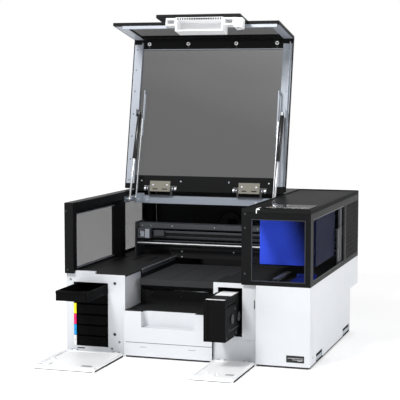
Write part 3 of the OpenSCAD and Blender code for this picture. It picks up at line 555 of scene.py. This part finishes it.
bead_dark = coated("bead_dark", (0.035, 0.037, 0.04), 0.35, metal=0.3, sheen=0.4)
bm = bmesh.new()
add_bead(bm, 1, 1.0, 5.0, (264.2, 321.2), (469.8, 553.8), 3.0)
add_bead(bm, 0, 488.6, -4.6, (46.2, 321.2), (639.8, 553.8), 3.0)
add_bead(bm, 0, 488.6, -4.6, (672.2, 321.2), (939.8, 553.8), 3.0)
finish_piece("right_window_beads", "cabinet", bm, bead_dark)
bm = bmesh.new()
add_block(bm, (-480.4, 40, 320), (-476, 46, 545), edge=0.6)
add_block(bm, (-480.4, 46, 537), (-477, 495, 541), edge=0.6)
add_block(bm, (-480.4, 46, 323), (-477, 495, 327), edge=0.6)
bead_light = coated("bead_light", (0.40, 0.42, 0.45), 0.35, metal=0.4)
finish_piece("left_window_bead", "cabinet", bm, bead_light)

# ---- Window panes ----
# The left panes are smoked sheet with a fine printed mesh. The right-hand panes are almost
# clear, so that the carriage shows through them.
def tinted(name, colour, alpha, roughness=0.1, sheen=0.3):
    """A see-through sheet; both of its faces take the alpha."""
    material = coated(name, colour, roughness, depth=0.0, sheen=sheen)
    material.node_tree.nodes["Principled BSDF"].inputs["Alpha"].default_value = alpha
    return material


smoked = tinted("smoked", (0.02, 0.02, 0.021), 0.55, roughness=0.35, sheen=0.1)
nodes, links = smoked.node_tree.nodes, smoked.node_tree.links
weave = nodes.new("ShaderNodeTexChecker")
weave.inputs["Scale"].default_value = 700.0
weave_place = nodes.new("ShaderNodeTexCoord")
weave_alpha = nodes.new("ShaderNodeMapRange")
weave_alpha.inputs["To Min"].default_value = 0.49
weave_alpha.inputs["To Max"].default_value = 0.62
links.new(weave_place.outputs["Object"], weave.inputs["Vector"])
links.new(weave.outputs["Fac"], weave_alpha.inputs["Value"])
links.new(weave_alpha.outputs["Result"], nodes["Principled BSDF"].inputs["Alpha"])
dress(smoked, "left_window", edge=0)
dress(tinted("clear_tint", (0.01, 0.01, 0.012), 0.05, sheen=0.001), "right_front_window",
      "right_side_window", edge=0)

# ---- Behind the side window ----
# A grey sheet post divides the space behind the side window, and a round filter housing is
# fixed to the wall behind it.
bm = bmesh.new()
add_block(bm, (470, 604, 312), (479, 622, 560), edge=1)
add_block(bm, (474, 622, 312), (479, 640, 560), edge=1)
finish_piece("canopy_post", "cabinet", bm, coated("post_grey", (0.11, 0.12, 0.13), 0.45))
bm = bmesh.new()
dome = [(0, 0), (32, 0), (31, 6)]
dome += [(31 * math.cos(a), 6 + 14 * math.sin(a)) for a in (0.3, 0.6, 0.9, 1.2)]
dome += [(0, 20)]
add_turned(bm, (458, 654, 416), (1, 0, 0), dome, sides=40)
finish_piece("filter_housing", "cabinet", bm, coated("dome_grey", (0.16, 0.165, 0.17), 0.4),
             smooth=True)
bm = bmesh.new()
add_block(bm, (452, 644, 312), (458, 900, 560), edge=1)
finish_piece("vent_backing", "cabinet", bm, tray_black)

# ---- Parking bay under the carriage ----
# A grey folded rail and a shallow dark blue drip tray lie on the floor of the right canopy,
# in front of the parked print heads. Both are screwed to the deck.
bm = bmesh.new()
add_block(bm, (340, 34, 309), (343, 236, 330), edge=0.6)
add_block(bm, (343, 34, 327.4), (362, 236, 330), edge=0.6)
rail_grey = coated("rail_grey", (0.10, 0.11, 0.125), 0.4, metal=0.2, sheen=0.2)
finish_piece("parking_rail", "cabinet", bm, rail_grey)
bm = bmesh.new()
add_block(bm, (392, 40, 309), (470, 200, 314), edge=1.0)
add_block(bm, (392, 196, 314), (470, 200, 328), edge=1.0)
tray_blue = coated("tray_blue", (0.012, 0.022, 0.17), 0.4, sheen=0.05)
finish_piece("drip_tray", "cabinet", bm, tray_blue)

# ---- Canopy top, status light and controls ----
# A glossy black cap covers the right canopy. A white light guide wraps over its front edge,
# and the control panel beside it has a dark screen with rows of small printed symbols.
gloss_top = coated("gloss_top", (0.015, 0.0152, 0.0158), 0.34, depth=0.01, sheen=0.002)
dress(gloss_top, "canopy_cap", edge=0.0025)
panel_black = coated("panel_black", (0.003, 0.003, 0.003), 0.3, sheen=0.03)
dress(panel_black, "control_panel", edge=0.0006)
key_grey = coated("key_grey", (0.30, 0.30, 0.31), 0.5)
dress(key_grey, "power_key", "menu_key", "feed_key", edge=0.0004)
bm = bmesh.new()
add_block(bm, (281.5, -0.1, 576), (285, 1.2, 592.6), edge=0.4)
add_block(bm, (281.5, 0.0, 591.4), (285, 62, 593), edge=0.4)
add_block(bm, (281.5, -0.1, 588.5), (296, 4, 593), edge=0.5)
finish_piece("status_light", "cabinet", bm, label_white)
bm = bmesh.new()
add_block(bm, (302, 100, 592.2), (372, 180, 592.9), edge=0.3)
screen_glass = coated("screen_glass", (0.02, 0.024, 0.03), 0.1, sheen=0.01)
finish_piece("screen", "cabinet", bm, screen_glass)
mark_colours = ((0.8, 0.8, 0.78), (0.75, 0.45, 0.30), (0.55, 0.60, 0.30), (0.62, 0.45, 0.50))
for k, colour in enumerate(mark_colours):
    bm = bmesh.new()
    for n in range(5):
        x = 306 + 33 * n + 7 * k
        y = (62, 78, 70, 88)[k]
        add_slab(bm, [(x, y), (x + 7, y), (x + 7, y + 5), (x, y + 5)], 2, 592.4, 592.8)
    finish_piece(f"panel_marks_{k + 1}", "cabinet", bm, coated(f"mark_{k + 1}", colour, 0.5))


# ---- Lid frame and glass ----
# The lid is a glazed black frame. Flat steel strips run along its sides, pan-head screws
# hold them, and the panes are smoked glass set in from the inside.
lid_joint = next(j for j in frame["record"]["behaviour"]["joints"] if j["name"] == "lid_hinge")
lid_hinge = Vector(lid_joint["pos_m"])
lid_turn = (Matrix.Translation(lid_hinge) @ Matrix.Rotation(-math.radians(101.2), 4, "X")
            @ Matrix.Translation(-lid_hinge))
dress(canopy_black, "lid_frame", edge=0.0015)
lid_tint = tinted("lid_tint", (0.004, 0.004, 0.0042), 0.63, roughness=0.4, sheen=0.06)
nodes, links = lid_tint.node_tree.nodes, lid_tint.node_tree.links
# Painted highlight: the lid glass grows more see-through towards its upper right, so it looks lighter
# there; the flap pane keeps an even tint.
glass_highlight_grade = graded(lid_tint.node_tree, "Object", (0.35, 0.0, 1.0), 0.88, 1.28, 0.635, 0.53)
links.new(glass_highlight_grade.outputs["Result"], nodes["Principled BSDF"].inputs["Alpha"])
dress(lid_tint, "lid_glass", edge=0)
flap_tint = tinted("flap_tint", (0.004, 0.004, 0.0042), 0.66, roughness=0.4, sheen=0.03)
dress(flap_tint, "lid_front_glass", edge=0)
strip_steel = coated("strip_steel", (0.36, 0.39, 0.44), 0.40, metal=0.15, grain=1800.0, sheen=0.4)
dress(strip_steel, "lid_rails", edge=0.0005)
lid_under = 593.6
strip_rows = (42, 134, 228, 330, 428, 530, 622)
screws("lid_strip_screws", "lid", [(x, y, lid_under) for x in (-472, 219) for y in strip_rows],
       (0, 0, -1), dark_screw, size=0.9, turn=lid_turn, form=FLAT_SCREW)
screws("lid_border_screws", "lid", [(x, 624, lid_under - 0.1) for x in (-413, -233, -16, 160)],
       (0, 0, -1), steel_screw, size=0.8, turn=lid_turn)
screws("lid_top_screws", "lid", [(x, 34, lid_under - 0.1) for x in (-416, -236, -18, 163)],
       (0, 0, -1), dark_screw, size=1.0, turn=lid_turn)
bm = bmesh.new()
add_block(bm, (-446, 41, lid_under - 3.2), (190, 45, lid_under), edge=0.8)
finish_piece("lid_front_bead", "lid", bm, strip_steel, lid_turn)

# ---- Lid bumpers ----
# Four moulded rings along the lid's front border are its rubber stops: a white collar
# round a dark centre, screwed through the frame.
bumper_x = (-417, -237, -19, 163)
collar = [(3.4, 0), (8, 0), (8, 3), (7, 5), (4.6, 5), (3.4, 3), (3.4, 0)]
bm = bmesh.new()
for x in bumper_x:
    add_turned(bm, (x, 18, lid_under), (0, 0, -1), collar, sides=28)
finish_piece("bumper_collars", "lid", bm, label_white, lid_turn, smooth=True)
bm = bmesh.new()
for x in bumper_x:
    add_turned(bm, (x, 18, lid_under), (0, 0, -1), [(0, 0), (3.4, 0), (3.4, 4), (0, 4.6)], sides=20)
finish_piece("bumper_centres", "lid", bm, rubber, lid_turn, smooth=True)

# ---- Lid handle and latch ----
# The handle is a white moulded cup with a comb grille above it and hollow latch arms at
# both ends. The comb's gaps and the latch slots are dark.
handle_white = coated("handle_white", (0.93, 0.935, 0.945), 0.35)
dress(handle_white, "lid_handle", edge=0.0010)
comb_start, comb_pitch = -160, 10
bm = bmesh.new()
for k in range(19):
    x = comb_start + comb_pitch * k
    add_block(bm, (x, 1.5, 206.2), (x + 5, 9, 208.2), edge=0.4)
finish_piece("comb_gaps", "lid", bm, shadow_black, lid_turn)
bm = bmesh.new()
for x in (-202, 44):
    add_block(bm, (x, 6, 206.8), (x + 26, 10, 208.4), edge=0.5)
    add_turned(bm, (x + 13, 29.4, 236), (0, 1, 0), [(0, 0), (4, 0), (4, 1.2), (0, 1.4)], sides=20)
finish_piece("latch_slots", "lid", bm, plate_grey, lid_turn)
bm = bmesh.new()
add_block(bm, (-444, -1.2, 352), (220, 0.6, 358), edge=0.5)
finish_piece("front_panel_channel", "lid", bm, shadow_black, lid_turn)
screws("front_panel_screws", "lid", [(-386, -1, 377), (152, -1, 375)], (0, 1, 0), steel_screw,
       size=0.8, turn=lid_turn)

# ---- Lid hinges ----
# Zinc-plated hinge leaves in a warm tan passivate are screwed to the lid, with two punched
# slots in each. Their pins end in hexagon nuts on the fixed blocks.
tan_zinc = coated("tan_zinc", (0.21, 0.20, 0.165), 0.45, metal=0.15, grain=1600.0, depth=0.08,
                  sheen=0.3)
dress(tan_zinc, "hinge_leaves", edge=0.0005)
block_dark = coated("block_dark", (0.05, 0.052, 0.056), 0.45, metal=0.2, sheen=0.3)
dress(block_dark, "hinge_blocks", edge=0.0005)
hinge_x, hinge_y, hinge_z = (-326, 75), 658, 600
pin_end, nut_offset = 56, 9
washer = [(0, 0), (8.5, 0), (8.5, 2), (5, 2.2), (5, 9), (0, 9)]
hex_nut = [(0, 0), (8.2, 0), (8.2, 8), (6.4, 9), (0, 9)]
bm = bmesh.new()
for x in hinge_x:
    for side in (-1, 1):
        start = x + side * pin_end
        add_turned(bm, (start, hinge_y, hinge_z), (side, 0, 0), washer, sides=28)
        add_turned(bm, (start + side * nut_offset, hinge_y, hinge_z), (side, 0, 0), hex_nut, sides=6)
finish_piece("hinge_nuts", "cabinet", bm, steel_screw)
screws("hinge_screws", "lid", [(x, y, 590.6) for x in (-358, -294, 43, 107) for y in (643,)],
       (0, 0, -1), steel_screw, size=1.2, turn=lid_turn)
bm = bmesh.new()
for x in (-348, -304, 53, 97):
    add_slab(bm, [(x - 11, 659), (x + 11, 659), (x + 11, 661.4), (x - 11, 661.4)], 2, 590.2, 590.6)
finish_piece("hinge_slots", "lid", bm, shadow_black, lid_turn)

# ---- Crossbar and strut brackets ----
# A folded steel channel joins the canopies behind the opening. It carries riveted end
# plates, and the foot studs of the struts.
crossbar_steel = coated("crossbar_steel", (0.30, 0.335, 0.385), 0.42, metal=0.15, grain=1800.0,
                        sheen=0.4)
dress(crossbar_steel, "crossbar", edge=0.0006)
bm = bmesh.new()
add_block(bm, (-436, 657.4, 541), (-378, 660.2, 561), edge=0.6)
add_block(bm, (90, 657.4, 541), (222, 660.2, 561), edge=0.6)
finish_piece("crossbar_plates", "cabinet", bm, crossbar_steel)
screws("crossbar_rivets", "cabinet", [(x, 657.6, 551) for x in (-427, -388, 104, 205)], (0, -1, 0),
       steel_screw, size=0.9)

# ---- Gas struts and stays ----
# The struts have black painted tubes over bright rods, and the stays are bent bright arms.
# Ball studs with small clips join them to the lid and the canopy rails.
strut_black = coated("strut_black", (0.008, 0.008, 0.009), 0.25, sheen=0.5)
bright_rod = coated("bright_rod", (0.66, 0.67, 0.69), 0.22, metal=0.6)
dress(strut_black, "gas_tube_left", "gas_tube_right", edge=0.0004)
dress(bright_rod, "gas_rod_left", "gas_rod_right", "lid_stay_left", "lid_stay_right", edge=0.0003)

# ---- Print bed ----
# The bed is three anodised planks side by side on a carrier, with a plain front bar.
# The planks have a fine lengthwise brush and a row of small fixing screws.
bed_black = coated("bed_black", (0.034, 0.0345, 0.0360), 0.38, sheen=0.10, grain=700.0, depth=0.05)
dress(bed_black, "print_bed", edge=0.0004)
dress(moulded_black, "bed_carrier", edge=0.0010)
bm = bmesh.new()
add_block(bm, (-222, 117.6, 266), (125, 120.6, 289.4), edge=1)
finish_piece("bed_front_bar", "bed", bm, bed_black)
screws("bed_screws", "bed", [(x, y, 290) for x in (-214, 117) for y in (140, 250, 360, 470, 545)],
       (0, 0, 1), dark_screw, size=0.45)
dress(steel_coat, "bed_frame", edge=0.0004)

# ---- Gantry and guide rod ----
# The beam is a dull grey extrusion with two ribs, a ground steel guide rod below them,
# and a toothed belt between its pulleys.
beam_grey = coated("beam_grey", (0.065, 0.071, 0.078), 0.42, metal=0.2, grain=1500.0, sheen=0.35)
dress(beam_grey, "gantry", edge=0.0006)
chrome = coated("chrome", (0.30, 0.305, 0.31), 0.36, metal=0.8)
dress(chrome, "guide_rod", edge=0)
beam_places = [(-386, 592, 446), (-346, 592, 445), (-250, 592, 446), (-60, 592, 446), (130, 592, 446)]
screws("beam_screws", "cabinet", beam_places, (0, -1, 0), steel_screw, size=0.6)
screws("bracket_screws", "cabinet", [(-388, 560, 415), (-346, 560, 425), (-346, 560, 404)],
       (0, -1, 0), dark_screw, size=0.9)
bm = bmesh.new()
add_block(bm, (-300, 583, 408), (468, 584.4, 414), edge=0.2)
for k in range(95):
    add_block(bm, (-296 + 8 * k, 584.2, 408.6), (-293 + 8 * k, 585.4, 413.4), edge=0)
finish_piece("carriage_belt", "cabinet", bm, rubber)
bm = bmesh.new()
add_block(bm, (-390, 566, 398), (-368, 571, 432), edge=1.5)
add_block(bm, (-362, 558, 396), (-342, 562, 434), edge=1.5)
finish_piece("bracket_folds", "cabinet", bm, strip_steel)

# ---- Duct on the rear wall ----
# A round moulded air duct with a square outlet stands on the inside of the rear cover,
# above the beam.
duct_centre = (-95, 946, 418)
duct_rim = [(56, 0), (66, 0), (66, 12), (62, 15), (58, 15), (56, 12), (56, 0)]
bm = bmesh.new()
add_turned(bm, duct_centre, (0, -1, 0), duct_rim, sides=56)
add_turned(bm, duct_centre, (0, -1, 0), [(0, 0), (56, 0), (56, 3), (0, 4)], sides=56)
duct_grey = coated("duct_grey", (0.018, 0.018, 0.019), 0.4, sheen=0.3)
finish_piece("duct_ring", "cabinet", bm, duct_grey, smooth=True)
bm = bmesh.new()
add_bead(bm, 1, 944, -6, (-104, 420), (-60, 449), 3.0)
add_slab(bm, [(-101, 423), (-63, 423), (-63, 446), (-101, 446)], 1, 939.5, 942)
finish_piece("duct_outlet", "cabinet", bm, shadow_black)

# ---- Carriage ----
# The carriage cover is a saturated blue moulding. Its colour is darkened to deep navy towards
# its right side and top, painted shade. The print heads under it are black.
blue_cover = coated("blue_cover", (0.048, 0.104, 0.90), 0.38, mottle=0.02, sheen=0.006)
cover_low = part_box("carriage_cover")[0]
nodes, links = blue_cover.node_tree.nodes, blue_cover.node_tree.links
# Painted shade: the blue is mixed towards deep navy towards the cover's right side and top.
cover_painted_shade_ramp = graded(blue_cover.node_tree, "Object", (1.0, 0.0, 0.32), cover_low[0] + 0.232,
                     cover_low[0] + 0.342)
cover_painted_shade_ramp.interpolation_type = "SMOOTHSTEP"
cover_painted_shade_mix = nodes.new("ShaderNodeMix")
cover_painted_shade_mix.data_type = "RGBA"
cover_painted_shade_mix.inputs["B"].default_value = (0.006, 0.009, 0.034, 1)
links.new(cover_painted_shade_ramp.outputs["Result"], cover_painted_shade_mix.inputs["Factor"])
links.new(nodes["shade"].outputs["Result"], cover_painted_shade_mix.inputs["A"])
links.new(cover_painted_shade_mix.outputs["Result"], nodes["Principled BSDF"].inputs["Base Color"])
dress(blue_cover, "carriage_cover", edge=0.002)
dress(moulded_black, "print_head")
